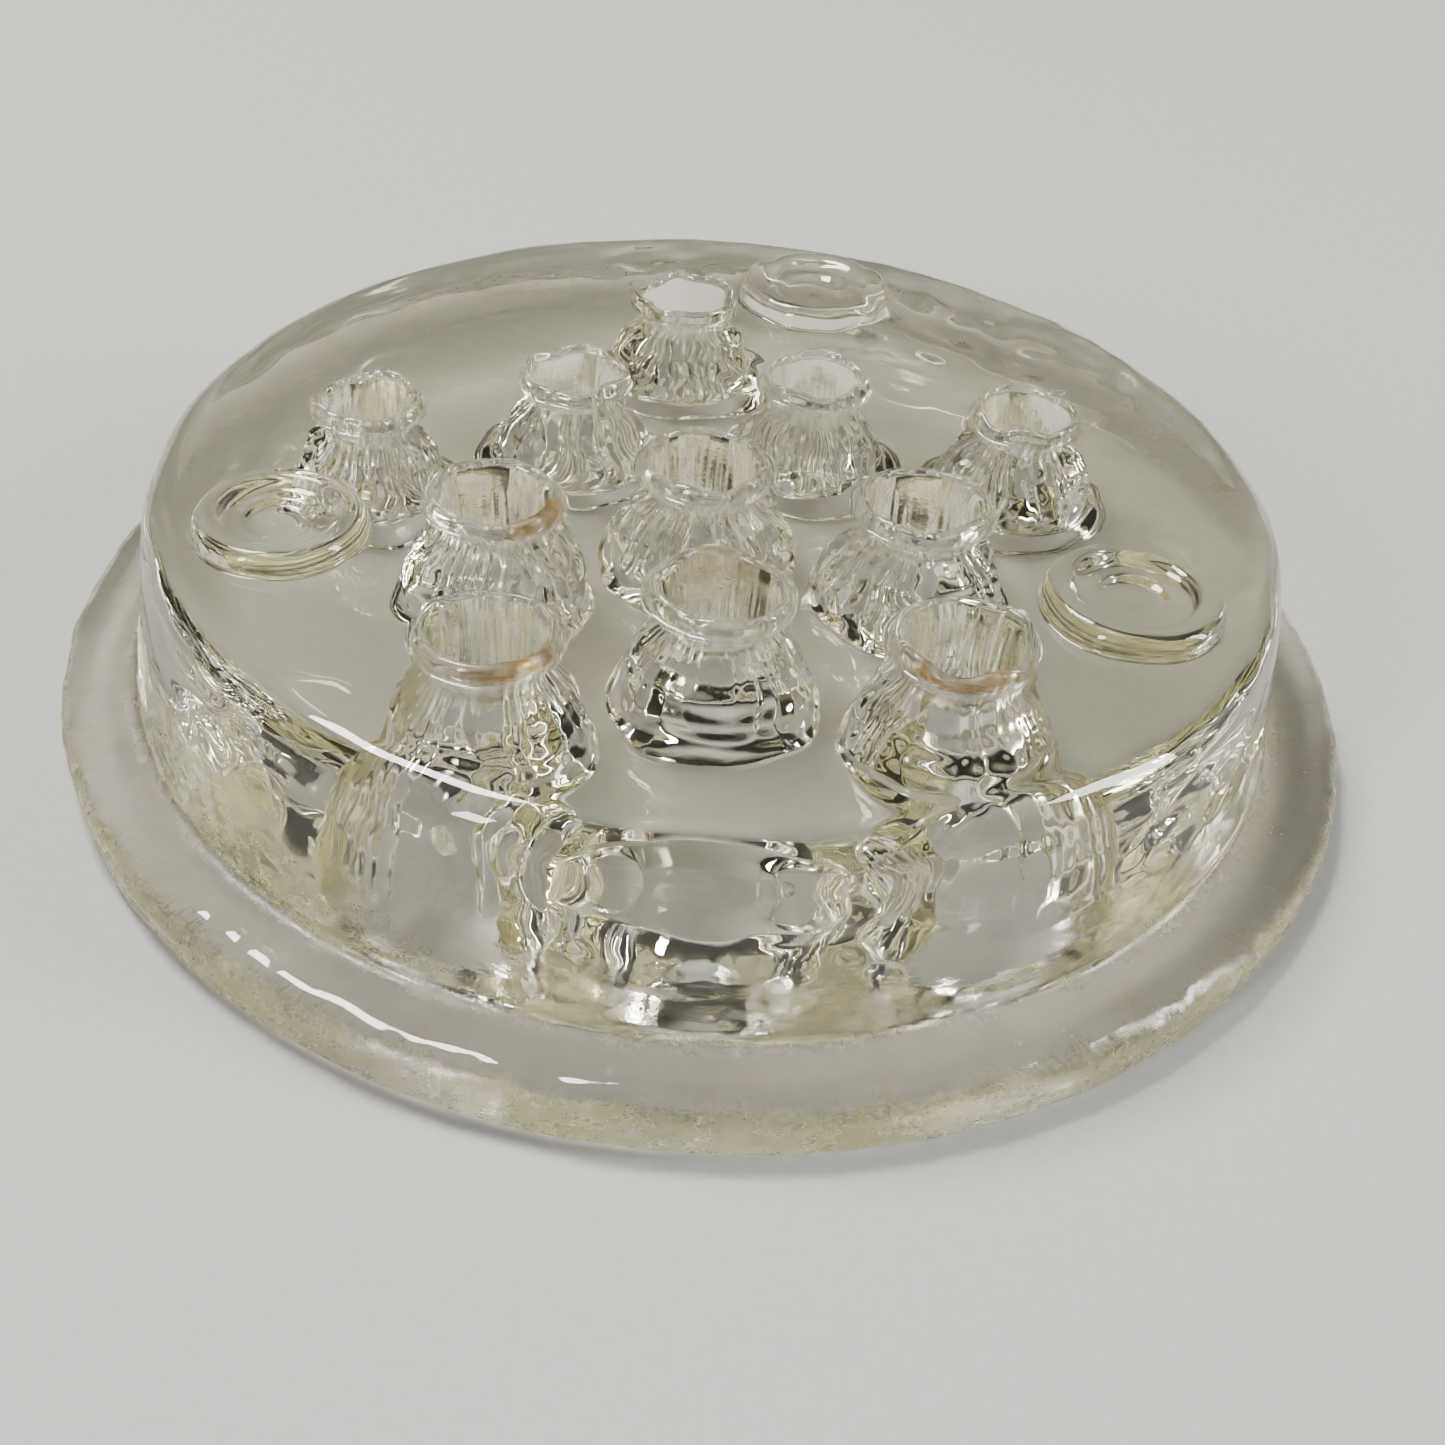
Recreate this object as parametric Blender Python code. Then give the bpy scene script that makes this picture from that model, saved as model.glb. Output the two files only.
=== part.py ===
"""Pressed glass flower frog: a round block with eleven waisted stem holes.

Metres, +Z up. The origin is on the block's axis, in the plane of the flat
underside that it stands on. -Y is the front.
"""
import math

import bmesh
import bpy
from mathutils import Vector

# Block, turned about Z
RIM_RADIUS = 0.0570
RIM_WIDEST_HEIGHT = 0.0024  # the rim is rounded above this height
RIM_FOOT_CHAMFER = 0.0005
FLANGE_TOP_RADIUS = 0.0542  # where the rounded rim meets the flange's flat top
FLANGE_HEIGHT = 0.0047
DRUM_FOOT_RADIUS = 0.0502  # drum side where it meets the flange
DRUM_TOP_RADIUS = 0.0480  # drum side, carried up to the top plane
DRUM_HEIGHT = 0.0215
DRUM_CORNER = 0.0032
FOOT_FILLET = 0.0010

# Stem holes: one in the middle and two staggered rings of five
HOLES_PER_RING = 5
INNER_RING_RADIUS = 0.0189
OUTER_RING_RADIUS = 0.0311
FIRST_HOLE_ANGLE = math.radians(-83.7)
PATTERN_CENTRE = (-0.0006, 0.0003)  # the middle hole, a little off the block's axis
HOLE_MOUTH_RADIUS = 0.0050  # at the crest of the lip
HOLE_MOUTH_DEPTH = 0.0024  # the mouth narrows to the neck over this depth
HOLE_NECK_RADIUS = 0.0044
NECK_FOOT_HEIGHT = 0.0165  # the wall starts to swell below this height
HOLE_BULB_RADIUS = 0.0081
BULB_HEIGHT = 0.0028  # the bulb is full below this height
BULB_SWELL = 1.7  # the wall flattens towards the bulb with this power of the height left
FOOT_FLARE_HEIGHT = 0.0012
HOLE_FOOT_RADIUS = 0.0087  # at the underside
FOOT_LAND_HEIGHT = 0.0005
NARROW_HOLE_SHARE = 0.86  # necks and bulbs behind the middle are this much narrower
NARROW_HOLES_BEHIND = 0.0050

# Lips: a low rounded collar round each mouth
LIP_HEIGHT = 0.0012  # above the top plane
LIP_FOOT_RADIUS = 0.0063
LIP_CREST_RADIUS = 0.0053

# Bosses: three low dished buttons near the rim of the top
BOSS_RADIUS = 0.0072
BOSS_HEIGHT = 0.0019  # above the top plane
BOSS_CREST_RADIUS = 0.0057
BOSS_DISH_DEPTH = 0.0009
BOSS_DIMPLE_RADIUS = 0.0031
BOSS_DIMPLE_DEPTH = 0.00035
BOSS_CENTRES = ((-0.0346, -0.0139), (0.0086, 0.0346), (0.0338, -0.0156))

BLOCK_SEGMENTS = 80
HOLE_SEGMENTS = 20
BOSS_SEGMENTS = 28
SHOULDER_STEPS = 4
OVERLAP = 0.0010  # how far a cutter passes a face, and a boss enters the block
MERGE = 0.000001


def clear_objects():
    for old in list(bpy.data.objects):
        bpy.data.objects.remove(old, do_unlink=True)


def arc(centre_r, centre_z, radius, start_deg, end_deg, steps):
    """Points (r, z) on an arc, its angles measured from the +r direction."""
    points = []
    for step in range(steps + 1):
        angle = math.radians(start_deg + (end_deg - start_deg) * step / steps)
        points.append((centre_r + radius * math.cos(angle), centre_z + radius * math.sin(angle)))
    return points


def turned(name, outline, segments):
    """A closed solid turned about Z from an outline that starts and ends on the axis."""
    mesh = bpy.data.meshes.new(name)
    turning = bmesh.new()
    corners = [turning.verts.new((r, 0.0, z)) for r, z in outline]
    edges = [turning.edges.new(pair) for pair in zip(corners, corners[1:])]
    bmesh.ops.spin(
        turning,
        geom=corners + edges,
        axis=(0.0, 0.0, 1.0),
        cent=(0.0, 0.0, 0.0),
        angle=2.0 * math.pi,
        steps=segments,
    )
    bmesh.ops.remove_doubles(turning, verts=turning.verts, dist=MERGE)
    bmesh.ops.recalc_face_normals(turning, faces=turning.faces)
    turning.to_mesh(mesh)
    turning.free()
    piece = bpy.data.objects.new(name, mesh)
    bpy.context.scene.collection.objects.link(piece)
    return piece


def block_outline():
    """Top centre, over the rounded top edge, down the drum and the flange, to the underside."""
    draft = math.atan2(DRUM_FOOT_RADIUS - DRUM_TOP_RADIUS, DRUM_HEIGHT - FLANGE_HEIGHT)
    draft_deg = math.degrees(draft)
    corner_z = DRUM_HEIGHT - DRUM_CORNER
    side_at_corner = DRUM_TOP_RADIUS + math.tan(draft) * DRUM_CORNER
    corner_r = side_at_corner - DRUM_CORNER / math.cos(draft)
    fillet_z = FLANGE_HEIGHT + FOOT_FILLET
    side_at_fillet = DRUM_FOOT_RADIUS - math.tan(draft) * FOOT_FILLET
    fillet_r = side_at_fillet + FOOT_FILLET / math.cos(draft)
    edge_r = RIM_RADIUS - FLANGE_TOP_RADIUS
    edge_z = FLANGE_HEIGHT - RIM_WIDEST_HEIGHT
    outline = [(0.0, DRUM_HEIGHT)]
    outline += arc(corner_r, corner_z, DRUM_CORNER, 90.0, draft_deg, 4)
    outline += arc(fillet_r, fillet_z, FOOT_FILLET, 180.0 + draft_deg, 270.0, 2)
    for step in range(5):
        turn = math.radians(90.0 - 90.0 * step / 4)
        r = FLANGE_TOP_RADIUS + edge_r * math.cos(turn)
        outline.append((r, RIM_WIDEST_HEIGHT + edge_z * math.sin(turn)))
    outline.append((RIM_RADIUS, RIM_FOOT_CHAMFER))
    outline.append((RIM_RADIUS - RIM_FOOT_CHAMFER, 0.0))
    outline.append((0.0, 0.0))
    return outline


def hole_outline(share):
    """A stem hole from its flared mouth, through the neck and the bulb, to its wide foot."""
    crest_z = DRUM_HEIGHT + LIP_HEIGHT
    wall = [
        (HOLE_MOUTH_RADIUS, crest_z + OVERLAP),
        (HOLE_MOUTH_RADIUS, crest_z),
        ((HOLE_MOUTH_RADIUS + HOLE_NECK_RADIUS) / 2.0, crest_z - HOLE_MOUTH_DEPTH * 0.4),
        (HOLE_NECK_RADIUS, crest_z - HOLE_MOUTH_DEPTH),
        (HOLE_NECK_RADIUS, NECK_FOOT_HEIGHT),
    ]
    for step in range(1, SHOULDER_STEPS + 1):
        down = step / SHOULDER_STEPS
        r = HOLE_BULB_RADIUS - (HOLE_BULB_RADIUS - HOLE_NECK_RADIUS) * (1.0 - down) ** BULB_SWELL
        wall.append((r, NECK_FOOT_HEIGHT + (BULB_HEIGHT - NECK_FOOT_HEIGHT) * down))
    wall.append((HOLE_BULB_RADIUS, FOOT_FLARE_HEIGHT))
    wall = [(r * share, z) for r, z in wall]
    wall += [(HOLE_FOOT_RADIUS, FOOT_LAND_HEIGHT), (HOLE_FOOT_RADIUS, -OVERLAP)]
    return [(0.0, crest_z + OVERLAP)] + wall + [(0.0, -OVERLAP)]


def lip_outline(share):
    """The collar round a mouth, before the hole is cut through it."""
    crest_z = DRUM_HEIGHT + LIP_HEIGHT
    slope = LIP_FOOT_RADIUS - LIP_CREST_RADIUS
    outline = [(0.0, crest_z)]
    for r, z in arc(0.0, 0.0, 1.0, 90.0, 0.0, 3):
        outline.append(((LIP_CREST_RADIUS + slope * r) * share, DRUM_HEIGHT + LIP_HEIGHT * z))
    outline.append((LIP_FOOT_RADIUS * share, DRUM_HEIGHT - OVERLAP))
    outline.append((0.0, DRUM_HEIGHT - OVERLAP))
    return outline


def boss_outline():
    """A low button with a rounded crest, a shallow dish and a dimple in the middle."""
    crest_z = DRUM_HEIGHT + BOSS_HEIGHT
    edge = BOSS_RADIUS - BOSS_CREST_RADIUS
    dish_z = crest_z - BOSS_DISH_DEPTH
    outline = [
        (0.0, dish_z - BOSS_DIMPLE_DEPTH),
        (BOSS_DIMPLE_RADIUS * 0.6, dish_z - BOSS_DIMPLE_DEPTH * 0.7),
        (BOSS_DIMPLE_RADIUS, dish_z),
        (BOSS_DIMPLE_RADIUS * 1.2, dish_z + BOSS_DISH_DEPTH * 0.1),
        (BOSS_CREST_RADIUS * 0.85, crest_z - BOSS_DISH_DEPTH * 0.2),
    ]
    outline += arc(BOSS_CREST_RADIUS, crest_z - edge, edge, 90.0, 0.0, 3)
    outline.append((BOSS_RADIUS, DRUM_HEIGHT - OVERLAP))
    outline.append((0.0, DRUM_HEIGHT - OVERLAP))
    return outline


def hole_centres():
    """The middle hole, then the inner ring, then the outer ring half a step round."""
    middle = Vector((*PATTERN_CENTRE, 0.0))
    centres = [middle]
    step = 2.0 * math.pi / HOLES_PER_RING
    for radius, stagger in ((INNER_RING_RADIUS, 0.0), (OUTER_RING_RADIUS, 0.5)):
        for index in range(HOLES_PER_RING):
            angle = FIRST_HOLE_ANGLE + (index + stagger) * step
            centres.append(middle + Vector((radius * math.cos(angle), radius * math.sin(angle), 0.0)))
    return centres


def combine(target, tool, operation):
    """Adds or cuts a guide solid, which stays in the scene as a wire outline."""
    tool.hide_render = True
    tool.display_type = "WIRE"
    change = target.modifiers.new(tool.name, "BOOLEAN")
    change.operation = operation
    change.solver = "EXACT"
    change.object = tool


def glass_material():
    glass = bpy.data.materials.new("clear_glass")
    glass.use_nodes = True
    shader = glass.node_tree.nodes["Principled BSDF"]
    shader.inputs["Base Color"].default_value = (0.93, 0.93, 0.87, 1.0)
    shader.inputs["Roughness"].default_value = 0.04
    shader.inputs["Metallic"].default_value = 0.0
    shader.inputs["IOR"].default_value = 1.52
    shader.inputs["Transmission Weight"].default_value = 1.0
    return glass


def build_block():
    block = turned("glass_block", block_outline(), BLOCK_SEGMENTS)
    block.data.materials.append(glass_material())
    for index, (x, y) in enumerate(BOSS_CENTRES):
        boss = turned(f"boss_guide_{index + 1}", boss_outline(), BOSS_SEGMENTS)
        boss.location = (x, y, 0.0)
        combine(block, boss, "UNION")
    cutters = []
    for index, centre in enumerate(hole_centres()):
        share = NARROW_HOLE_SHARE if centre.y > NARROW_HOLES_BEHIND else 1.0
        lip = turned(f"lip_guide_{index + 1}", lip_outline(share), HOLE_SEGMENTS)
        lip.location = centre
        combine(block, lip, "UNION")
        hole = turned(f"hole_cutter_{index + 1}", hole_outline(share), HOLE_SEGMENTS)
        hole.location = centre
        cutters.append(hole)
    for hole in cutters:
        combine(block, hole, "DIFFERENCE")
    block.data.shade_smooth()
    block.data.set_sharp_from_angle(angle=math.radians(40.0))


clear_objects()
build_block()
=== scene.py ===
"""Looks of a pressed glass flower frog standing on a pale studio floor.

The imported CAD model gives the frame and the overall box. The glass is modelled
in millimetres about the same origin and scaled to metres once, at the end.
"""

import math

import bmesh
import bpy
import numpy as np
from mathutils import Matrix, Vector
from mathutils.geometry import delaunay_2d_cdt


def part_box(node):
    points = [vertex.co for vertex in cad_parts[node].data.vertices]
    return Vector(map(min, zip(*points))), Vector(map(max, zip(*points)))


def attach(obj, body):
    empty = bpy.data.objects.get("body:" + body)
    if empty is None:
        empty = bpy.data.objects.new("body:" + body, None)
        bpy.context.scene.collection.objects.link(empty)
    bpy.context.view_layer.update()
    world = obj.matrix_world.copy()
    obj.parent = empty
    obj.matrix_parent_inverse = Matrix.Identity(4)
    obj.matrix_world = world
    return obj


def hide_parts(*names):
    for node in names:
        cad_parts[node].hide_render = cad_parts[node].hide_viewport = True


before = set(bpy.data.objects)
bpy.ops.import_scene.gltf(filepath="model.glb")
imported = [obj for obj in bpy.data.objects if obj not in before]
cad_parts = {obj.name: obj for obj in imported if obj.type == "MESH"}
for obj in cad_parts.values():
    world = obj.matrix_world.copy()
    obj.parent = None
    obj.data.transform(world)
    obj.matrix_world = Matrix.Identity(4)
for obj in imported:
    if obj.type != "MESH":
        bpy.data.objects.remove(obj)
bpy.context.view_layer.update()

MM = 0.001
TURN = 2.0 * math.pi

# Block, in millimetres, sized from the CAD node's box
block_low, block_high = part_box("glass_block")
RIM_RADIUS = (block_high[0] - block_low[0]) / 2.0 / MM
BOSS_TOP = block_high[2] / MM
BOSS_HEIGHT = 1.9
DRUM_HEIGHT = BOSS_TOP - BOSS_HEIGHT
DRUM_TOP_RADIUS = RIM_RADIUS - 9.0
DRUM_FOOT_RADIUS = RIM_RADIUS - 6.8
DRUM_CORNER = 3.2
FLANGE_HEIGHT = 4.7
FLANGE_TOP_RADIUS = RIM_RADIUS - 2.8
RIM_WIDEST_HEIGHT = 2.4
FOOT_FILLET = 1.0
RIM_ROUGHNESS = 0.10

# Stem holes: one in the middle and two staggered rings of five
HOLES_PER_RING = 5
INNER_RING_RADIUS = 18.9
OUTER_RING_RADIUS = 31.1
FIRST_HOLE_ANGLE = math.radians(-83.7)
PATTERN_CENTRE = (-0.6, 0.3)  # the middle hole, a little off the block's axis
HOLE_FOOT_RADIUS = 8.7
NARROW_HOLE_SHARE = 0.86  # necks and bulbs behind the middle are this much narrower
NARROW_HOLES_BEHIND = 5.0
NECK_REACH = 5.2  # points nearer the hole's axis than this belong to its neck
LIP_HEIGHT = 1.2
LIP_FOOT_RADIUS = 5.9  # where the lip rises from the top
LIP_CREST_RADIUS = 5.05
LIP_RISE = (
    (LIP_FOOT_RADIUS, 0.0),
    (5.78, 0.10),
    (5.68, 0.42),
    (5.54, 0.82),
    (5.32, 1.12),
    (LIP_CREST_RADIUS, LIP_HEIGHT),
    (4.80, 1.05),
    (4.62, 0.60),
    (4.52, -0.10),
)
HOLE_CURVE = (
    (4.46, DRUM_HEIGHT - 1.2),
    (4.40, DRUM_HEIGHT - 2.8),
    (4.44, DRUM_HEIGHT - 4.4),
    (4.72, 15.8),
    (5.32, 14.3),
    (6.00, 12.6),
    (6.66, 10.6),
    (7.30, 8.0),
    (7.80, 5.2),
    (8.06, 3.2),
    (8.18, 2.2),
)
FOOT_FLARE = (
    (8.34, 1.2),
    (8.54, 0.4),
    (HOLE_FOOT_RADIUS, 0.0),
)

# Bosses
BOSS_RADIUS = 7.2
BOSS_CENTRES = ((-34.6, -13.9), (8.6, 34.6), (33.8, -15.6))
BOSS_CURVE = (
    (BOSS_RADIUS + 0.10, 0.0),
    (BOSS_RADIUS, 0.22),
    (BOSS_RADIUS, 0.75),
    (6.95, 1.35),
    (6.45, 1.78),
    (5.75, 1.90),
    (5.10, 1.74),
    (4.60, 1.35),
    (3.95, 1.08),
    (3.40, 1.02),
    (2.95, 0.92),
    (2.55, 0.66),
    (1.70, 0.52),
    (0.90, 0.55),
    (0.30, 0.62),
)

BLOCK_SEGMENTS = 720
HOLE_SEGMENTS = 240
BOSS_SEGMENTS = 120
HOLE_ROWS = 72
BOSS_ROWS = 30


def smooth_curve(corners, rows):
    """Evenly spaced points on a Catmull-Rom curve through the corners."""
    fixed = np.array(corners, dtype=float)
    padded = np.vstack([2 * fixed[0] - fixed[1], fixed, 2 * fixed[-1] - fixed[-2]])
    share = np.linspace(0.0, 1.0, 24, endpoint=False)[:, None]
    pieces = []
    for before, start, end, after in zip(padded, padded[1:], padded[2:], padded[3:]):
        pieces.append(
            0.5 * (
                2 * start
                + (end - before) * share
                + (2 * before - 5 * start + 4 * end - after) * share**2
                + (3 * start - before - 3 * end + after) * share**3
            )
        )
    dense = np.vstack(pieces + [fixed[-1:]])
    run = np.concatenate([[0.0], np.cumsum(np.linalg.norm(np.diff(dense, axis=0), axis=1))])
    wanted = np.linspace(0.0, run[-1], rows)
    return np.stack([np.interp(wanted, run, dense[:, axis]) for axis in (0, 1)], axis=1)


def ripples(places, wavelength, seed, waves=28):
    """A smooth random field of about unit size, all its waves of one length."""
    rng = np.random.default_rng(seed)
    heading = rng.normal(size=(waves, places.shape[1]))
    heading /= np.linalg.norm(heading, axis=1, keepdims=True)
    offset = rng.uniform(0.0, TURN, waves)
    field = np.zeros(len(places))
    for direction, phase in zip(heading, offset):
        field += np.sin(places @ direction * (TURN / wavelength) + phase)
    return field * math.sqrt(2.0 / waves)


def folds(angle, height, seed, fewest, most, count):
    """Folds that run down a round wall, from fewest to most of them in one turn."""
    rng = np.random.default_rng(seed)
    total = np.zeros_like(angle)
    for turns in rng.integers(fewest, most + 1, count):
        wander = 0.9 * np.sin(height * rng.uniform(0.15, 0.5) + rng.uniform(0.0, TURN))
        total += np.sin(turns * angle + rng.uniform(0.0, TURN) + wander)
    return total * math.sqrt(2.0 / count)


def ramp(value, low, high):
    """Rises smoothly from 0 at low to 1 at high."""
    share = np.clip((value - low) / (high - low), 0.0, 1.0)
    return share * share * (3.0 - 2.0 * share)


def faded(depth, fade):
    """Strength at a depth, between the (depth, strength) pairs of a fade."""
    depths, strengths = zip(*fade)
    return np.interp(depth, depths, strengths)


class Shell:
    """Points and faces of one closed surface, in millimetres."""

    def __init__(self):
        self.points = []
        self.faces = []
        self.count = 0

    def add(self, points):
        numbers = np.arange(self.count, self.count + len(points))
        self.points.append(np.asarray(points, dtype=float))
        self.count += len(points)
        return numbers

    def band(self, first, second):
        """Quads between two rings with the same number of points."""
        after = np.roll(np.arange(len(first)), -1)
        quads = np.stack([first, first[after], second[after], second], axis=1)
        self.faces.extend(quads.tolist())

    def all_points(self):
        return np.vstack(self.points)


def circle(centre, radius, height, segments):
    """Points of a level circle; radius may be one number or one for each point."""
    angle = np.arange(segments) * (TURN / segments)
    x = centre[0] + radius * np.cos(angle)
    y = centre[1] + radius * np.sin(angle)
    return np.stack([x, y, np.full(segments, float(height))], axis=1)


def hole_centres():
    """The middle hole, then the inner ring, then the outer ring half a step round."""
    middle_x, middle_y = PATTERN_CENTRE
    centres = [PATTERN_CENTRE]
    for radius, stagger in ((INNER_RING_RADIUS, 0.0), (OUTER_RING_RADIUS, 0.5)):
        for index in range(HOLES_PER_RING):
            angle = FIRST_HOLE_ANGLE + (index + stagger) * TURN / HOLES_PER_RING
            centres.append((middle_x + radius * math.cos(angle), middle_y + radius * math.sin(angle)))
    return centres


HOLES = hole_centres()
# Holes pressed cleanly keep faint folds; the rest are deeply pleated
CALM_HOLES = {1: 0.25, 6: 0.45, 10: 0.45}
FEWEST_PLEATS = 22
PLEAT_COUNTS = 4  # the holes take turns with this many counts, from the fewest up
PLEAT_DEPTH = 0.34
SWAY_DEPTH = 0.13
OVAL_DEPTH = 0.12
STREAK_DEPTH = 0.030
HOOP_DEPTH = 0.035
# How strong each is, by the depth below the top: pairs of depth and strength
PLEAT_FADE = ((0.5, 0.0), (2.0, 0.15), (4.0, 0.5), (6.5, 1.0), (16.2, 1.0), (17.8, 0.15), (21.0, 0.0))
STREAK_FADE = ((0.3, 0.0), (1.2, 0.7), (2.5, 1.0), (6.0, 0.9), (12.0, 0.4), (17.0, 0.0))
HOOP_FADE = ((4.0, 0.0), (7.0, 0.8), (14.0, 1.0), (20.0, 0.0))

# Rows of points beside a ring: distance from it, and how many of its points each stands for
COLLARS = ((0.45, 2), (1.05, 3))
LAST_COLLAR = COLLARS[-1][0]
LEAST_GAP = 0.3  # between a ring and a point of the grid
TOP_SPACING = 0.9
UNDER_SPACING = 1.6


def sheet(shell, outer, openings, height, spacing):
    """Fills the level face between an outer ring and openings with even triangles.

    openings lists (centre, ring radius, point numbers) of the rings that bound it.
    """
    everything = shell.all_points()
    ring_sets = [outer] + [numbers for _, _, numbers in openings]
    fixed = np.concatenate(ring_sets)
    flat = [tuple(place) for place in everything[fixed, :2]]
    edges = []
    start = 0
    for numbers in ring_sets:
        size = len(numbers)
        edges.extend((start + step, start + (step + 1) % size) for step in range(size))
        start += size
    limit = np.linalg.norm(everything[outer[0], :2])
    inner = []
    for centre, radius, numbers in openings:
        for growth, share in COLLARS:
            segments = len(numbers) // share
            inner.extend(circle(centre, radius + growth, height, segments)[:, :2].tolist())
    for shrink, share in COLLARS:
        inner.extend(circle((0.0, 0.0), limit - shrink, height, len(outer) // share)[:, :2].tolist())
    row_gap = spacing * math.sqrt(3.0) / 2.0
    rows = int(limit / row_gap) + 1
    for row in range(-rows, rows + 1):
        for column in range(-rows, rows + 1):
            x = (column + 0.5 * (row % 2)) * spacing
            y = row * row_gap
            clear = math.hypot(x, y) < limit - LAST_COLLAR - spacing * 0.6
            for centre, radius, _ in openings:
                gap = math.hypot(x - centre[0], y - centre[1]) - radius
                clear = clear and gap > LAST_COLLAR + spacing * 0.6
            if clear:
                inner.append((x, y))
    kept = []
    for x, y in inner:
        crowded = False
        for centre, radius, _ in openings:
            crowded = crowded or math.hypot(x - centre[0], y - centre[1]) < radius + LEAST_GAP
        if not crowded and math.hypot(x, y) < limit - LEAST_GAP:
            kept.append((x, y))
    numbers = shell.add([(x, y, height) for x, y in kept])
    source = np.concatenate([fixed, numbers])
    flat = [Vector(place) for place in flat + kept]
    _, _, triangles, origin, _, _ = delaunay_2d_cdt(flat, edges, [], 0, 1e-6)
    ring_of = np.full(len(flat), -1)
    start = len(outer)
    for index, (_, _, ring) in enumerate(openings):
        ring_of[start:start + len(ring)] = index
        start += len(ring)
    for triangle in triangles:
        local = [origin[corner][0] for corner in triangle]
        rings = {ring_of[corner] for corner in local}
        if len(rings) == 1 and -1 not in rings:
            continue
        shell.faces.append([int(source[corner]) for corner in local])


def outer_rows():
    """Profile (radius, height) from the top's edge over the drum and flange to the underside."""
    lean = math.atan2(DRUM_FOOT_RADIUS - DRUM_TOP_RADIUS, DRUM_HEIGHT - FLANGE_HEIGHT)
    corner_z = DRUM_HEIGHT - DRUM_CORNER
    corner_r = DRUM_TOP_RADIUS + math.tan(lean) * DRUM_CORNER - DRUM_CORNER / math.cos(lean)
    rows = []
    for turn in np.linspace(math.pi / 2, lean, 14):
        rows.append((corner_r + DRUM_CORNER * math.cos(turn), corner_z + DRUM_CORNER * math.sin(turn)))
    fillet_z = FLANGE_HEIGHT + FOOT_FILLET
    fillet_r = DRUM_FOOT_RADIUS - math.tan(lean) * FOOT_FILLET + FOOT_FILLET / math.cos(lean)
    fillet = []
    for turn in np.linspace(math.pi + lean, 1.5 * math.pi, 6):
        fillet.append((fillet_r + FOOT_FILLET * math.cos(turn), fillet_z + FOOT_FILLET * math.sin(turn)))
    rows += np.linspace(rows[-1], fillet[0], 34)[1:-1].tolist()
    rows += fillet
    rows += np.linspace(fillet[-1], (FLANGE_TOP_RADIUS, FLANGE_HEIGHT), 10)[1:-1].tolist()
    edge_r = RIM_RADIUS - FLANGE_TOP_RADIUS
    edge_z = FLANGE_HEIGHT - RIM_WIDEST_HEIGHT
    for turn in np.linspace(math.pi / 2, 0.0, 12):
        edge = FLANGE_TOP_RADIUS + edge_r * math.cos(turn)
        rows.append((edge, RIM_WIDEST_HEIGHT + edge_z * math.sin(turn)))
    rows += np.linspace(rows[-1], (RIM_RADIUS - 0.2, 0.6), 6)[1:].tolist()
    rows += [(RIM_RADIUS - 0.35, 0.25), (RIM_RADIUS - 0.7, 0.03), (RIM_RADIUS - 1.1, 0.0)]
    return rows


def build_outside(shell):
    """The turned outside; returns the rings that bound the top and the underside."""
    rings = [shell.add(circle((0.0, 0.0), r, z, BLOCK_SEGMENTS)) for r, z in outer_rows()]
    for first, second in zip(rings, rings[1:]):
        shell.band(first, second)
    return rings[0], rings[-1]


def share_of(centre):
    return NARROW_HOLE_SHARE if centre[1] > NARROW_HOLES_BEHIND else 1.0


def hole_wall(centre):
    """Profile (radius, height) over the lip, down the neck and the bulb and out to the foot."""
    share = share_of(centre)
    wall = [(radius * share, DRUM_HEIGHT + rise) for radius, rise in LIP_RISE]
    wall += [(radius * share, height) for radius, height in HOLE_CURVE]
    wall += FOOT_FLARE
    return smooth_curve(wall, HOLE_ROWS)


def creased(angle, height, flutes, seed):
    """Pleats of uneven width with sharp valleys, between -1 and 1."""
    rng = np.random.default_rng(seed)
    drift = 0.22 * np.sin(2 * angle + rng.uniform(0.0, TURN))
    drift = drift + 0.12 * np.sin(5 * angle + rng.uniform(0.0, TURN))
    drift = drift + 0.035 * np.sin(height * 0.7 + 3 * angle + rng.uniform(0.0, TURN))
    depth = 0.7 + 0.3 * np.sin(3 * angle + rng.uniform(0.0, TURN))
    wave = np.abs(np.sin(0.5 * flutes * (angle + drift) + rng.uniform(0.0, TURN)))
    return depth * (1.27 - 2.0 * wave**0.8)


def build_hole(shell, index, centre):
    """One stem hole's wall, with its folds; returns its mouth and foot rings."""
    angle = np.arange(HOLE_SEGMENTS) * (TURN / HOLE_SEGMENTS)
    strength = CALM_HOLES.get(index, 1.0)
    pleats = FEWEST_PLEATS + index % PLEAT_COUNTS
    rings = []
    for radius, height in hole_wall(centre):
        level = np.full_like(angle, height)
        depth = DRUM_HEIGHT - height
        pleat = PLEAT_DEPTH * creased(angle, level, pleats, 40 + index) * strength
        sway = SWAY_DEPTH * folds(angle, level, 60 + index, 4, 8, 4) * strength
        streak = STREAK_DEPTH * folds(angle, level, 90 + index, 28, 46, 10)
        oval = OVAL_DEPTH * folds(angle, level, 140 + index, 2, 3, 2)
        hoops = HOOP_DEPTH * np.sin(height * 2.1 + 1.3 * np.sin(angle + index) + index)
        change = faded(depth, PLEAT_FADE) * (pleat + sway + oval)
        change += faded(depth, STREAK_FADE) * streak + faded(depth, HOOP_FADE) * hoops
        rings.append(shell.add(circle(centre, radius + change, height, HOLE_SEGMENTS)))
    for first, second in zip(rings, rings[1:]):
        shell.band(first, second)
    return rings[0], rings[-1]


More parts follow.
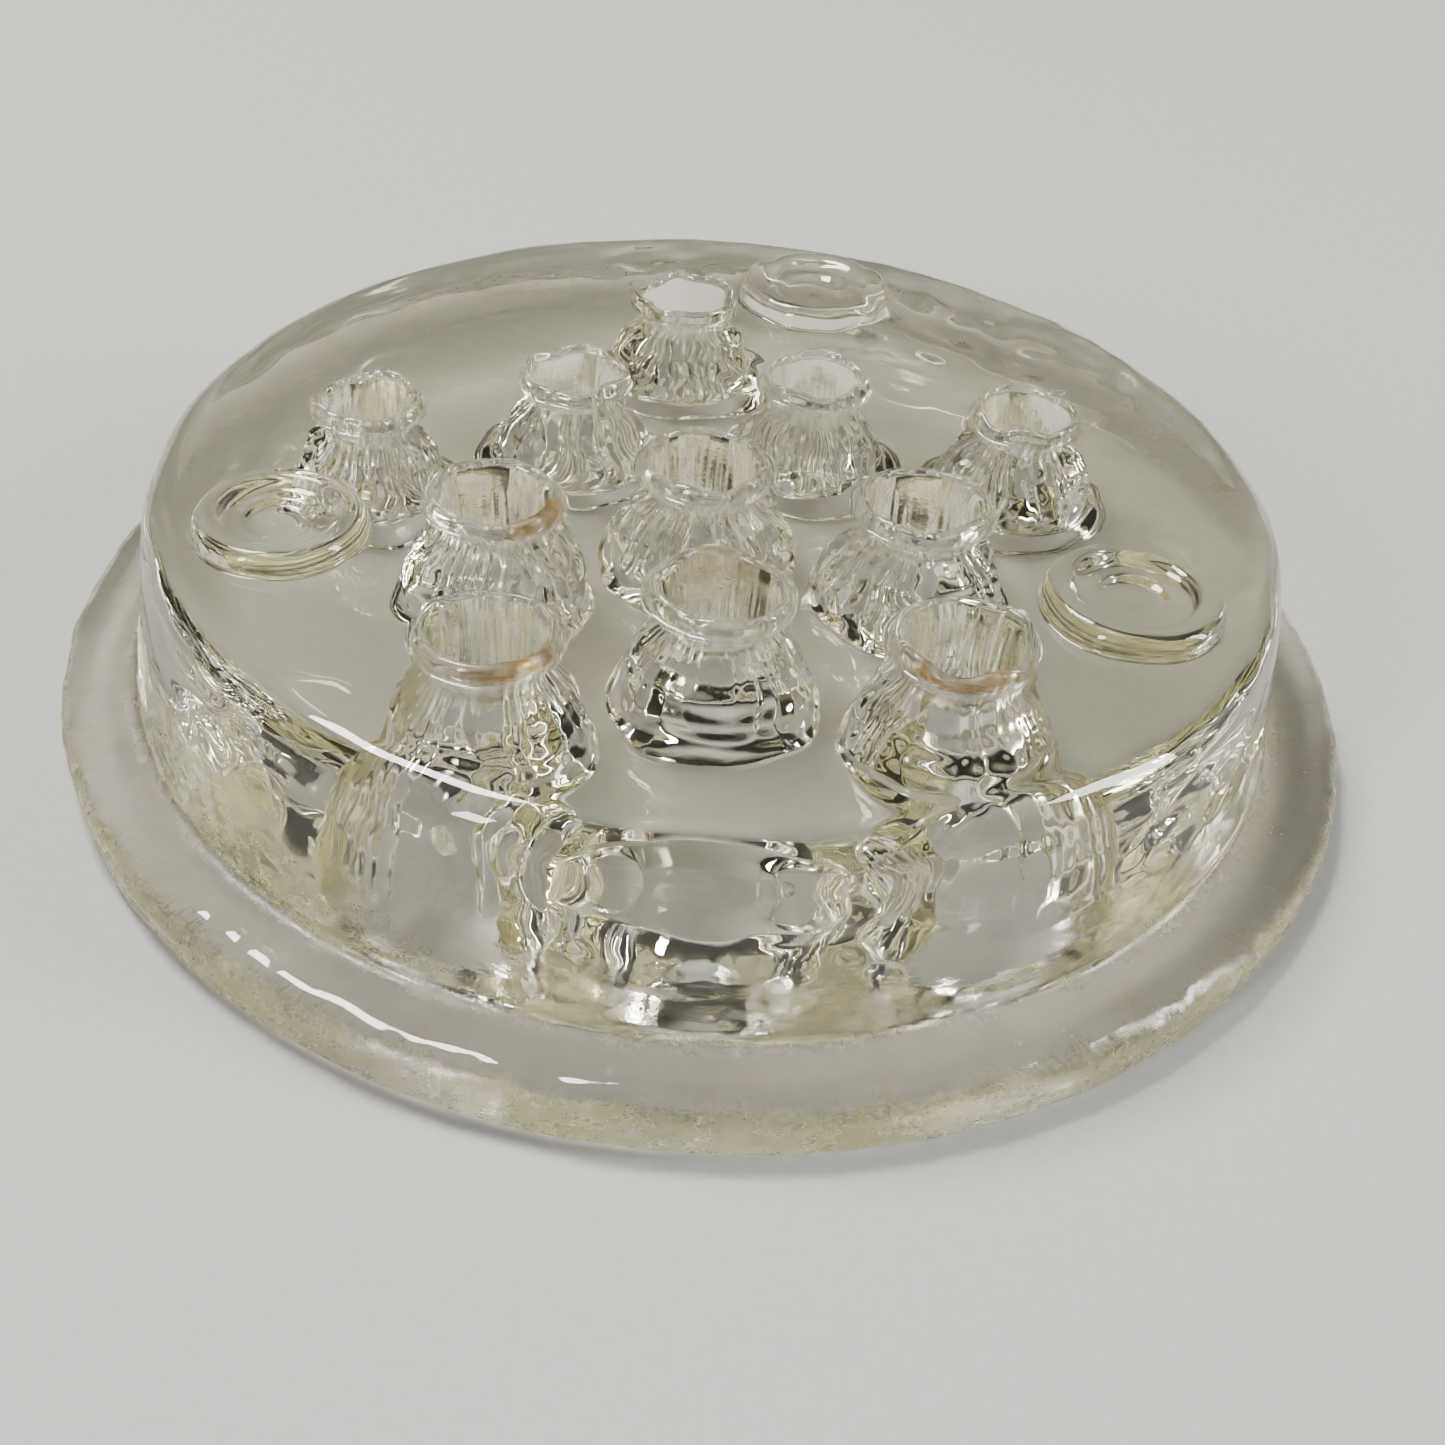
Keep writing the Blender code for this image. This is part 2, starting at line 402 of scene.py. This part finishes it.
def build_boss(shell, centre):
    """A dished button on the top; returns the ring that bounds it."""
    rings = []
    for radius, rise in smooth_curve(BOSS_CURVE, BOSS_ROWS):
        rings.append(shell.add(circle(centre, radius, DRUM_HEIGHT + rise, BOSS_SEGMENTS)))
    for first, second in zip(rings, rings[1:]):
        shell.band(first, second)
    middle = shell.add([(centre[0], centre[1], DRUM_HEIGHT + BOSS_CURVE[-1][1])])
    last = rings[-1]
    for first, second in zip(last, np.roll(last, -1)):
        shell.faces.append([int(first), int(second), int(middle[0])])
    return rings[0]


# Waves that fire polishing and wear left: height, length and seed of each set
TOP_WAVES = ((0.07, 17.0, 3), (0.03, 7.5, 4))
TOP_LUMPS = ((0.05, 4.2, 5),)
SIDE_WAVES = ((0.07, 15.0, 6), (0.02, 6.0, 7))
SIDE_GRAIN = ((0.035, 2.6, 13), (0.018, 1.5, 14))
FLANGE_WAVES = ((0.06, 9.0, 8), (0.02, 3.0, 9))
RIM_WAVES = ((0.55, 6.0, 10), (0.25, 2.8, 11))  # shares of the rim's roughness
LIP_WOBBLE = 0.17
LIP_CHATTER = 0.035
LIP_WAVE = 0.14
LIP_WEAR = 0.04
# Where the drum's side kept the mould's grain, at the left front and along the back:
# direction of the middle, half width in full, half width at the end, strength
GRAINED = ((math.radians(213.0), 0.5, 1.1, 1.0), (math.radians(100.0), 0.6, 1.0, 0.9))
GRAIN_ELSEWHERE = 0.5


def wave_sum(places, table):
    """The sum of the sets of waves in a table."""
    return sum(height * ripples(places, length, seed) for height, length, seed in table)


def grain_of(points):
    """How strong the mould's grain is at each point; it is only low down on the drum's side."""
    x, y, z = points.T
    angle = np.arctan2(y, x)
    strength = np.full(len(points), GRAIN_ELSEWHERE)
    for middle, full, end, most in GRAINED:
        turned = np.abs((angle - middle + math.pi) % TURN - math.pi)
        strength = np.maximum(strength, most * (1.0 - ramp(turned, full, end)))
    return strength * (1.0 - ramp(z, FLANGE_HEIGHT + 3.0, FLANGE_HEIGHT + 10.0))


def weather(points):
    """Moves the points as fire polishing and wear have: waves, uneven lips, a rough rim."""
    x, y, z = points.T
    radius = np.hypot(x, y)
    flat = points[:, :2]
    near_top = ramp(z, DRUM_HEIGHT - 3.0, DRUM_HEIGHT - 0.3)
    lumpy = ramp(y, 6.0, 22.0) * ramp(x, -24.0, 4.0)
    swell = wave_sum(flat, TOP_WAVES)
    lumps = wave_sum(flat, TOP_LUMPS) * (0.15 + lumpy)
    calm_edge = 1.0 - 0.6 * ramp(radius, DRUM_TOP_RADIUS - 6.0, DRUM_TOP_RADIUS)
    lift = near_top * (swell + lumps) * calm_edge
    for index, centre in enumerate(HOLES):
        share = share_of(centre)
        away = np.hypot(x - centre[0], y - centre[1]) / share
        angle = np.arctan2(y - centre[1], x - centre[0])
        lip = np.exp(-(((away - 5.1) / 1.0) ** 2)) * ramp(z, DRUM_HEIGHT - 2.5, DRUM_HEIGHT)
        wobble = folds(angle, z * 0.0, 200 + index, 2, 5, 4)
        chatter = folds(angle, z * 0.0, 240 + index, 8, 17, 6)
        push = lip * (LIP_WOBBLE * wobble + LIP_CHATTER * chatter)
        points[:, 0] += push * np.cos(angle)
        points[:, 1] += push * np.sin(angle)
        lift += lip * (LIP_WAVE * folds(angle, z * 0.0, 280 + index, 2, 6, 5) - LIP_WEAR)
    points[:, 2] += lift
    bearing = np.arctan2(y, x)
    unrolled = np.stack([np.cos(bearing) * 50.0, np.sin(bearing) * 50.0, z * 2.6], axis=1)
    on_side = ramp(radius, DRUM_TOP_RADIUS - 2.0, DRUM_TOP_RADIUS) * (1.0 - ramp(radius, 50.6, 51.6))
    on_side *= ramp(z, FLANGE_HEIGHT + 0.5, FLANGE_HEIGHT + 2.5)
    side = on_side * wave_sum(unrolled, SIDE_WAVES)
    side += on_side * grain_of(points) * wave_sum(unrolled, SIDE_GRAIN)
    on_flange = ramp(radius, DRUM_FOOT_RADIUS + 1.0, DRUM_FOOT_RADIUS + 2.0) * ramp(z, 2.0, 3.2)
    points[:, 2] += on_flange * wave_sum(flat, FLANGE_WAVES)
    on_rim = ramp(radius, RIM_RADIUS - 2.8, RIM_RADIUS - 0.2) * ramp(z, 0.0, 0.3)
    rim = -RIM_ROUGHNESS * on_rim * (0.9 + wave_sum(points, RIM_WAVES))
    grow = (side + rim) / np.maximum(radius, 1.0)
    points[:, 0] *= 1.0 + grow
    points[:, 1] *= 1.0 + grow
    return points


# How matt each ground place is, from 0, polished, to 1
RIM_FROST = 0.75
UNDER_FROST = 0.45
SEAM_FROST = 0.7
SIDE_FROST = 0.8
NECK_FROST = 0.42
FOOT_FROST = 0.3


def frost_of(points):
    """How matt the glass is at each point, from 0, polished, to 1, ground."""
    x, y, z = points.T
    radius = np.hypot(x, y)
    frost = RIM_FROST * ramp(radius, RIM_RADIUS - 2.2, RIM_RADIUS - 0.1)
    under = (1.0 - ramp(z, 0.05, 0.3)) * ramp(radius, DRUM_FOOT_RADIUS - 2.0, DRUM_FOOT_RADIUS + 2.0)
    frost = np.maximum(frost, UNDER_FROST * under)
    seam = np.exp(-(((radius - DRUM_FOOT_RADIUS - 0.7) / 1.1) ** 2))
    seam *= ramp(z, FLANGE_HEIGHT - 1.0, FLANGE_HEIGHT - 0.4)
    seam *= 1.0 - ramp(z, FLANGE_HEIGHT + 0.6, FLANGE_HEIGHT + 1.6)
    frost = np.maximum(frost, SEAM_FROST * seam)
    on_side = ramp(radius, DRUM_TOP_RADIUS - 1.5, DRUM_TOP_RADIUS)
    on_side *= 1.0 - ramp(radius, DRUM_FOOT_RADIUS, DRUM_FOOT_RADIUS + 0.5)
    on_side *= ramp(z, FLANGE_HEIGHT - 0.2, FLANGE_HEIGHT + 0.2)
    frost = np.maximum(frost, SIDE_FROST * on_side * (grain_of(points) - 0.2))
    for centre in HOLES:
        away = np.hypot(x - centre[0], y - centre[1]) / share_of(centre)
        neck = (away < NECK_REACH) * ramp(z, 14.5, 17.0)
        neck *= 1.0 - ramp(z, DRUM_HEIGHT - 0.9, DRUM_HEIGHT + 0.2)
        frost = np.maximum(frost, NECK_FROST * neck)
        foot = (away < HOLE_FOOT_RADIUS + 0.2) * (1.0 - ramp(z, 0.2, 0.9))
        frost = np.maximum(frost, FOOT_FROST * foot)
    return frost


# Mineral stains on the lips: hole, direction of the middle, half width, strength
STAINS = (
    (1, 1.6, 1.2, 0.5),
    (5, -0.6, 0.9, 1.0),
    (6, -1.7, 1.2, 0.9),
    (10, -1.0, 1.1, 1.0),
)


def stain_of(points):
    """How strongly each point is stained brown, from 0 to 1."""
    x, y, z = points.T
    stain = np.zeros(len(points))
    for index, middle, half, strength in STAINS:
        centre = HOLES[index]
        away = np.hypot(x - centre[0], y - centre[1]) / share_of(centre)
        angle = np.arctan2(y - centre[1], x - centre[0])
        turned = np.abs((angle - middle + math.pi) % TURN - math.pi)
        round_lip = 1.0 - ramp(turned, half * 0.45, half)
        up_lip = ramp(z, DRUM_HEIGHT - 2.2, DRUM_HEIGHT - 0.6) * (1.0 - ramp(away, 5.6, 6.2))
        stain = np.maximum(stain, strength * round_lip * up_lip)
    return stain


def add_numbers(mesh, name, values):
    layer = mesh.attributes.new(name, "FLOAT", "POINT")
    layer.data.foreach_set("value", values.astype(np.float32))


def build_glass():
    shell = Shell()
    top_ring, under_ring = build_outside(shell)
    mouths = []
    feet = []
    for index, centre in enumerate(HOLES):
        mouth, foot = build_hole(shell, index, centre)
        mouths.append((centre, LIP_FOOT_RADIUS * share_of(centre), mouth))
        feet.append((centre, HOLE_FOOT_RADIUS, foot))
    bosses = [(centre, BOSS_CURVE[0][0], build_boss(shell, centre)) for centre in BOSS_CENTRES]
    sheet(shell, top_ring, mouths + bosses, DRUM_HEIGHT, TOP_SPACING)
    sheet(shell, under_ring, feet, 0.0, UNDER_SPACING)
    points = weather(shell.all_points())
    points[:, 2] = np.clip(points[:, 2], 0.0, BOSS_TOP)
    mesh = bpy.data.meshes.new("pressed_glass")
    mesh.from_pydata((points * MM).tolist(), [], shell.faces)
    shaping = bmesh.new()
    shaping.from_mesh(mesh)
    bmesh.ops.recalc_face_normals(shaping, faces=shaping.faces)
    shaping.to_mesh(mesh)
    shaping.free()
    add_numbers(mesh, "frost", frost_of(points))
    add_numbers(mesh, "stain", stain_of(points))
    mesh.shade_smooth()
    piece = bpy.data.objects.new("pressed_glass", mesh)
    bpy.context.scene.collection.objects.link(piece)
    return piece


class Nodes:
    """Short calls for building a node tree."""

    def __init__(self, tree):
        self.tree = tree

    def new(self, kind, **settings):
        """A node; settings that start with in_ are the values of its inputs."""
        node = self.tree.nodes.new(kind)
        for name, value in settings.items():
            if name.startswith("in_"):
                node.inputs[name[3:].replace("_", " ")].default_value = value
            else:
                setattr(node, name, value)
        return node

    def join(self, source, target):
        self.tree.links.new(source, target)

    def feed(self, value, target):
        """Joins a socket to the target, or gives it a plain value."""
        if hasattr(value, "is_linked"):
            self.join(value, target)
        else:
            target.default_value = value

    def maths(self, operation, first, second):
        node = self.new("ShaderNodeMath", operation=operation)
        self.feed(first, node.inputs[0])
        self.feed(second, node.inputs[1])
        return node.outputs[0]

    def noise(self, place, scale, detail, roughness=0.5):
        settings = {"in_Scale": scale, "in_Detail": detail, "in_Roughness": roughness}
        node = self.new("ShaderNodeTexNoise", **settings)
        self.join(place, node.inputs["Vector"])
        return node.outputs["Fac"]

    def spread(self, value, low, high, to_low=0.0, to_high=1.0):
        """Carries the range from low to high over to the range from to_low to to_high."""
        settings = {"in_From_Min": low, "in_From_Max": high, "in_To_Min": to_low, "in_To_Max": to_high}
        node = self.new("ShaderNodeMapRange", **settings)
        self.join(value, node.inputs["Value"])
        return node.outputs["Result"]

    def shades(self, value, stops):
        """A colour ramp with the given (position, colour) stops."""
        node = self.new("ShaderNodeValToRGB")
        elements = node.color_ramp.elements
        while len(elements) < len(stops):
            elements.new(0.5)
        for element, (position, colour) in zip(elements, stops):
            element.position = position
            element.color = (*colour, 1.0)
        self.join(value, node.inputs["Fac"])
        return node.outputs["Color"]

    def mixed(self, factor, first, second):
        """From the first colour to the second as the factor rises."""
        node = self.new("ShaderNodeMix", data_type="RGBA")
        self.join(factor, node.inputs["Factor"])
        ends = [socket for socket in node.inputs if socket.type == "RGBA"]
        self.feed(first, ends[0])
        self.feed(second, ends[1])
        return [socket for socket in node.outputs if socket.type == "RGBA"][0]


GLASS_IOR = 1.52
CLEAR = (0.99, 0.99, 0.98, 1.0)
CREAM = (0.97, 0.94, 0.78)
TAN = (0.78, 0.64, 0.42)
STAIN_BROWN = (0.58, 0.32, 0.09, 1.0)
TINT = (0.955, 0.93, 0.64, 1.0)
TINT_DENSITY = 12.0
FILM_ROUGHNESS = 0.018
GROUND_ROUGHNESS = 0.5
STAIN_ROUGHNESS = 0.25
PEEL_SHARE = 0.06  # of the relief, against the pits of the ground glass
RELIEF = 0.00008


def glass_material():
    """Clear glass, ground in places, with deposits and brown stains."""
    material = bpy.data.materials.new("pressed_glass")
    material.use_nodes = True
    nodes = Nodes(material.node_tree)
    shader = material.node_tree.nodes["Principled BSDF"]
    output = material.node_tree.nodes["Material Output"]
    shader.inputs["Transmission Weight"].default_value = 1.0
    shader.inputs["IOR"].default_value = GLASS_IOR
    place = nodes.new("ShaderNodeTexCoord").outputs["Object"]
    frost = nodes.new("ShaderNodeAttribute", attribute_name="frost").outputs["Fac"]
    stain = nodes.new("ShaderNodeAttribute", attribute_name="stain").outputs["Fac"]

    # Ground glass lies in patches drawn out level; its pits are far finer
    layered = nodes.new("ShaderNodeMapping")
    layered.inputs["Scale"].default_value = (1.0, 1.0, 2.6)
    nodes.join(place, layered.inputs["Vector"])
    patches = nodes.noise(layered.outputs["Vector"], 240.0, 4.0, 0.7)
    frost = nodes.maths("MULTIPLY", frost, nodes.spread(patches, 0.35, 0.62, 0.35, 1.25))
    pits = nodes.noise(place, 2600.0, 3.0, 0.6)

    # Roughness: ground glass, crusted stains, and a thin film on the rest
    pitted = nodes.maths("MULTIPLY", frost, nodes.spread(pits, 0.0, 1.0, 0.55, 1.25))
    ground = nodes.maths("MULTIPLY", pitted, GROUND_ROUGHNESS)
    crust = nodes.maths("MULTIPLY", stain, STAIN_ROUGHNESS)
    film = nodes.spread(nodes.noise(place, 90.0, 5.0, 0.65), 0.45, 0.8, 0.0, FILM_ROUGHNESS)
    nodes.join(nodes.maths("ADD", nodes.maths("ADD", ground, crust), film), shader.inputs["Roughness"])

    # Colour: cream and tan deposits where it is ground, brown where it is stained
    deposit = nodes.shades(patches, ((0.54, CREAM), (0.72, TAN)))
    blotch = nodes.spread(nodes.noise(place, 900.0, 4.0, 0.7), 0.28, 0.52)
    brown = nodes.maths("MULTIPLY", stain, blotch)
    surface = nodes.mixed(brown, nodes.mixed(frost, CLEAR, deposit), STAIN_BROWN)
    nodes.join(surface, shader.inputs["Base Color"])

    # Relief: pitting where it is ground, faint orange peel everywhere
    peel = nodes.maths("MULTIPLY", nodes.noise(place, 420.0, 2.0), PEEL_SHARE)
    bump = nodes.new("ShaderNodeBump", in_Strength=1.0, in_Distance=RELIEF)
    nodes.join(nodes.maths("ADD", nodes.maths("MULTIPLY", pits, frost), peel), bump.inputs["Height"])
    nodes.join(bump.outputs["Normal"], shader.inputs["Normal"])

    tint = nodes.new("ShaderNodeVolumeAbsorption", in_Density=TINT_DENSITY, in_Color=TINT)
    nodes.join(tint.outputs["Volume"], output.inputs["Volume"])
    return material


FLOOR_RADIUS = 4.0
FLOOR_DROP = 0.0003  # the floor's level under the glass
FLOOR_GREYS = ((0.0, (0.50, 0.497, 0.49)), (1.0, (0.58, 0.577, 0.57)))


def build_floor():
    """A plain pale floor, level under the object."""
    bpy.ops.mesh.primitive_circle_add(
        vertices=96,
        radius=FLOOR_RADIUS,
        fill_type="NGON",
        location=(0.0, 0.0, -FLOOR_DROP),
    )
    floor = bpy.context.object
    floor.name = "studio_floor"
    material = bpy.data.materials.new("studio_floor")
    material.use_nodes = True
    nodes = Nodes(material.node_tree)
    shader = material.node_tree.nodes["Principled BSDF"]
    shader.inputs["Roughness"].default_value = 0.7
    place = nodes.new("ShaderNodeTexCoord").outputs["Object"]
    grain = nodes.noise(place, 900.0, 3.0)
    nodes.join(nodes.shades(grain, FLOOR_GREYS), shader.inputs["Base Color"])
    floor.data.materials.append(material)


LIGHTS = (
    # name, place, size, watts, colour
    ("key", (-0.34, 0.30, 0.90), (0.30, 0.30), 9.5, (1.0, 0.965, 0.90)),
    ("side", (0.80, -0.05, 0.42), (0.14, 0.60), 5.0, (1.0, 0.98, 0.95)),
    ("front", (-0.50, -0.62, 0.42), (0.12, 0.30), 3.0, (1.0, 0.99, 0.97)),
)
# Surround: pairs of height above the horizon, 1 being overhead, and grey
SURROUND = ((0.0, 0.14), (0.10, 0.10), (0.28, 0.025), (0.70, 0.04), (0.84, 0.40), (1.0, 0.75))


def build_lights():
    """Three soft boxes in a dim room that is paler overhead."""
    target = Vector((0.0, 0.0, 0.01))
    for name, place, size, power, colour in LIGHTS:
        lamp = bpy.data.lights.new(name, "AREA")
        lamp.shape = "RECTANGLE"
        lamp.size, lamp.size_y = size
        lamp.energy = power
        lamp.color = colour
        light = bpy.data.objects.new(name, lamp)
        light.location = place
        light.rotation_euler = (target - Vector(place)).to_track_quat("-Z", "Y").to_euler()
        bpy.context.scene.collection.objects.link(light)
    world = bpy.data.worlds.new("surround")
    world.use_nodes = True
    bpy.context.scene.world = world
    nodes = Nodes(world.node_tree)
    back = world.node_tree.nodes["Background"]
    way = nodes.new("ShaderNodeTexCoord").outputs["Generated"]
    split = nodes.new("ShaderNodeSeparateXYZ")
    nodes.join(way, split.inputs["Vector"])
    stops = [(height, (grey, grey, grey)) for height, grey in SURROUND]
    nodes.join(nodes.shades(split.outputs["Z"], stops), back.inputs["Color"])
    back.inputs["Strength"].default_value = 1.0
    bpy.context.scene.view_settings.look = "AgX - Medium High Contrast"


# Camera, in millimetres: in front of the block, looking down at it
CAMERA_DISTANCE = 182.96  # from the block's origin
CAMERA_ELEVATION = math.radians(37.05)
CAMERA_ROLL = math.radians(2.66)
CAMERA_TARGET = (-8.45, 0.0, -7.07)
CAMERA_FOCAL = 1.3623  # focal length over the picture's width
CAMERA_SHIFT = 0.0831
SENSOR_WIDTH = 36.0


def build_camera():
    way_back = Vector((0.0, -math.cos(CAMERA_ELEVATION), math.sin(CAMERA_ELEVATION)))
    place = way_back * CAMERA_DISTANCE * MM
    forward = (Vector(CAMERA_TARGET) * MM - place).normalized()
    level = forward.cross(Vector((0.0, 0.0, 1.0))).normalized()
    upright = level.cross(forward)
    across = level * math.cos(CAMERA_ROLL) + upright * math.sin(CAMERA_ROLL)
    upward = upright * math.cos(CAMERA_ROLL) - level * math.sin(CAMERA_ROLL)
    lens = bpy.data.cameras.new("camera")
    lens.sensor_width = SENSOR_WIDTH
    lens.lens = SENSOR_WIDTH * CAMERA_FOCAL
    lens.shift_x = CAMERA_SHIFT
    lens.clip_start = 0.005
    lens.clip_end = 20.0
    camera = bpy.data.objects.new("camera", lens)
    turn = Matrix((across, upward, -forward)).transposed()
    camera.matrix_world = Matrix.Translation(place) @ turn.to_4x4()
    bpy.context.scene.collection.objects.link(camera)
    bpy.context.scene.camera = camera


glass = build_glass()
glass.data.materials.append(glass_material())
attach(glass, "root")
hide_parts("glass_block")
build_floor()
build_lights()
build_camera()

# Light crosses many walls on its way through the block
GLASS_BOUNCES = 24
MIRROR_BOUNCES = 12
paths = bpy.context.scene.cycles
paths.max_bounces = GLASS_BOUNCES
paths.transmission_bounces = GLASS_BOUNCES
paths.glossy_bounces = MIRROR_BOUNCES
